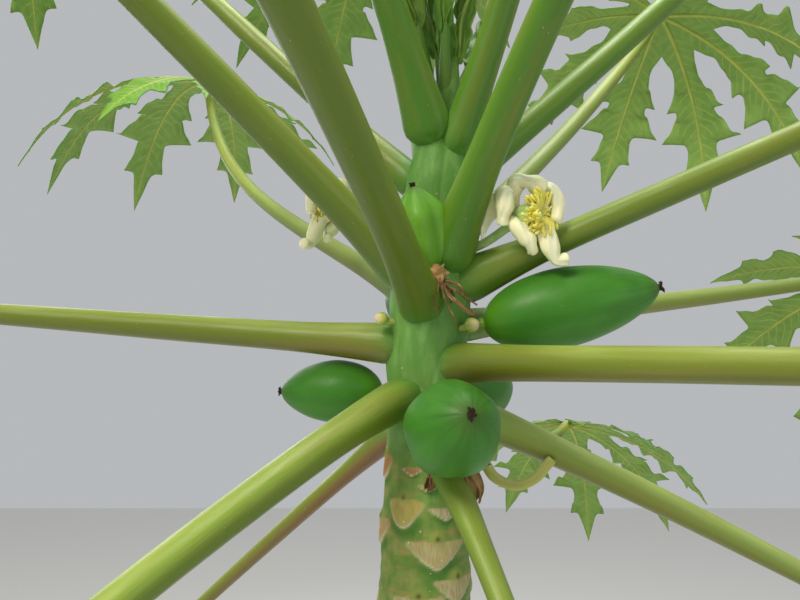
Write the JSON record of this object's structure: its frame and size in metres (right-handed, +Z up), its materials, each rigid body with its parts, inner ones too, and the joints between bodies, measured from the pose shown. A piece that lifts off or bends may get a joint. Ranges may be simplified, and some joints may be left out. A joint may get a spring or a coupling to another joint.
{
  "type": "papaya tree",
  "caption": "Whole papaya tree: leaning scarred trunk, a spiral of long leaf stalks with deeply lobed blades, green fruit and cream blossom in the axils.",
  "frame": {"origin": "middle of the flat cut under the trunk, at ground level", "axes": "+Z up, +X the way that the trunk leans, -Y towards the viewer of the picture"},
  "size_m": [1.6521, 1.6546, 2.1326],
  "materials": {
    "trunk_bark": "matt, green-beige, ringed with leaf scars",
    "leaf_stalk": "smooth waxy skin, satin",
    "pale_leaf_stalk": "smooth skin under a whitish bloom",
    "leaf_blade": "thin leaf, satin above, duller below",
    "young_leaf": "soft folded leaf, satin",
    "fruit_skin": "unripe skin, matt-satin",
    "petal": "waxy cream petal",
    "dried_flower": "papery, shrivelled"
  },
  "bodies": {
    "root": {"trunk": "trunk_bark", "leaf_stalk_01": "leaf_stalk", "leaf_stalk_02": "leaf_stalk", "leaf_stalk_03": "pale_leaf_stalk", "leaf_stalk_04": "leaf_stalk", "leaf_stalk_05": "leaf_stalk", "leaf_stalk_06": "leaf_stalk", "leaf_stalk_07": "leaf_stalk", "leaf_stalk_08": "pale_leaf_stalk", "leaf_stalk_09": "leaf_stalk", "leaf_stalk_10": "leaf_stalk", "leaf_stalk_11": "leaf_stalk", "leaf_stalk_12": "leaf_stalk", "leaf_stalk_13": "pale_leaf_stalk", "leaf_stalk_14": "leaf_stalk", "leaf_stalk_15": "leaf_stalk", "leaf_stalk_16": "leaf_stalk", "leaf_stalk_17": "leaf_stalk", "leaf_stalk_18": "leaf_stalk", "leaf_stalk_19": "leaf_stalk", "leaf_blade_01": "leaf_blade", "leaf_blade_02": "leaf_blade", "leaf_blade_03": "leaf_blade", "leaf_blade_04": "leaf_blade", "leaf_blade_05": "leaf_blade", "leaf_blade_06": "leaf_blade", "leaf_blade_07": "leaf_blade", "leaf_blade_08": "leaf_blade", "leaf_blade_09": "leaf_blade", "leaf_blade_10": "leaf_blade", "leaf_blade_11": "leaf_blade", "leaf_blade_12": "leaf_blade", "leaf_blade_13": "leaf_blade", "leaf_blade_14": "leaf_blade", "leaf_blade_15": "leaf_blade", "leaf_blade_16": "leaf_blade", "leaf_blade_17": "leaf_blade", "leaf_blade_18": "leaf_blade", "leaf_blade_19": "leaf_blade", "young_leaf_20": "young_leaf", "young_leaf_21": "young_leaf", "young_leaf_22": "young_leaf", "young_leaf_23": "young_leaf", "young_leaf_24": "young_leaf", "young_leaf_25": "young_leaf", "fruit_long_right": "fruit_skin", "fruit_front": "fruit_skin", "fruit_left": "fruit_skin", "fruit_young_upright": "fruit_skin", "fruit_back_low": "fruit_skin", "fruit_back_high": "fruit_skin", "flower_right": "petal", "flower_left": "petal", "flower_back": "petal", "dried_flower_front": "dried_flower", "dried_flower_low": "dried_flower", "bud_right": "young_leaf", "bud_left": "young_leaf", "bent_flower_stalk": "pale_leaf_stalk"}
  },
  "joints": []
}
